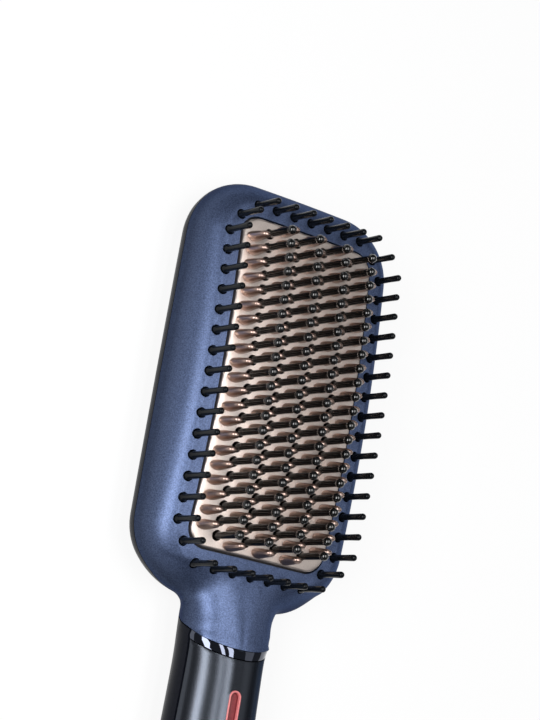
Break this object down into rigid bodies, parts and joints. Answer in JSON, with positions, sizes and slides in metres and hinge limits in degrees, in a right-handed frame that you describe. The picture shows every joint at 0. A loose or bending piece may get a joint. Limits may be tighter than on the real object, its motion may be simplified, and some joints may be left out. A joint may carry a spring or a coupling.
{
  "type": "heated straightening brush",
  "caption": "Heated paddle brush with a toothed metal plate, ball-tipped and stiff border bristles, a slide switch in the handle and a swivelling cord gland.",
  "frame": {"origin": "middle of the bounding box's base, with the brush lying on its back", "axes": "+Y from the handle's end to the top of the head, +Z out of the bristle face, +X across the head"},
  "size_m": [0.0754, 0.3116, 0.0399],
  "materials": {
    "blue_lacquer": "pearl blue lacquer",
    "black_gloss": "gloss",
    "gunmetal": "satin metallic paint",
    "mirror_black": "dark mirror",
    "champagne_plate": "champagne satin coating",
    "heat_plastic": "matte",
    "pin_black": "satin",
    "ball_black": "gloss",
    "orange_film": "insulating film",
    "steel": "plain",
    "ceramic_white": "matte",
    "component_grey": "matte",
    "lead_white": "silicone",
    "board_green": "solder mask",
    "clear_lens": "clear",
    "coral": "satin",
    "gland_rubber": "matte",
    "contact_brass": "plain"
  },
  "bodies": {
    "brush": {"head_front_shell": "blue_lacquer", "rear_shell": "black_gloss", "handle_front_shell": "gunmetal", "trim_ring": "mirror_black", "heating_plate": "champagne_plate", "plate_frame": "heat_plastic", "border_bristles": "pin_black", "ball_bristles": "ball_black", "ptc_heater_left": "orange_film", "ptc_heater_right": "orange_film", "heater_spring_left": "steel", "heater_spring_right": "steel", "heater_chassis": "heat_plastic", "chassis_screw_1": "steel", "chassis_screw_2": "steel", "chassis_screw_3": "steel", "chassis_screw_4": "steel", "thermostat": "ceramic_white", "thermal_fuse": "steel", "temperature_sensor": "component_grey", "heater_lead_left": "lead_white", "heater_lead_right": "lead_white", "head_screw_1": "steel", "head_screw_2": "steel", "head_screw_3": "steel", "head_screw_4": "steel", "handle_screw_1": "steel", "handle_screw_2": "steel", "circuit_board": "board_green", "board_screw_1": "steel", "board_screw_2": "steel", "filter_capacitor": "component_grey", "power_triac": "component_grey", "indicator_led": "clear_lens", "light_guide": "clear_lens", "slide_switch": "component_grey", "slot_liner": "coral", "end_cap": "black_gloss", "swivel_retainer": "heat_plastic", "contact_spring_left": "contact_brass", "contact_spring_right": "contact_brass"},
    "switch_slider": {"slide_knob": "gunmetal", "knob_carriage": "coral"},
    "swivel": {"swivel_gland": "gland_rubber", "contact_pin": "contact_brass"}
  },
  "joints": [
    {"name": "switch_slide", "type": "slide", "parent": "brush", "child": "switch_slider", "axis": [0, 1, 0], "range_m": [0, 0.008]},
    {"name": "cord_swivel", "type": "hinge", "parent": "brush", "child": "swivel", "pos_m": [0, -0.13345, 0.012], "axis": [0, 1, 0], "continuous": true}
  ]
}
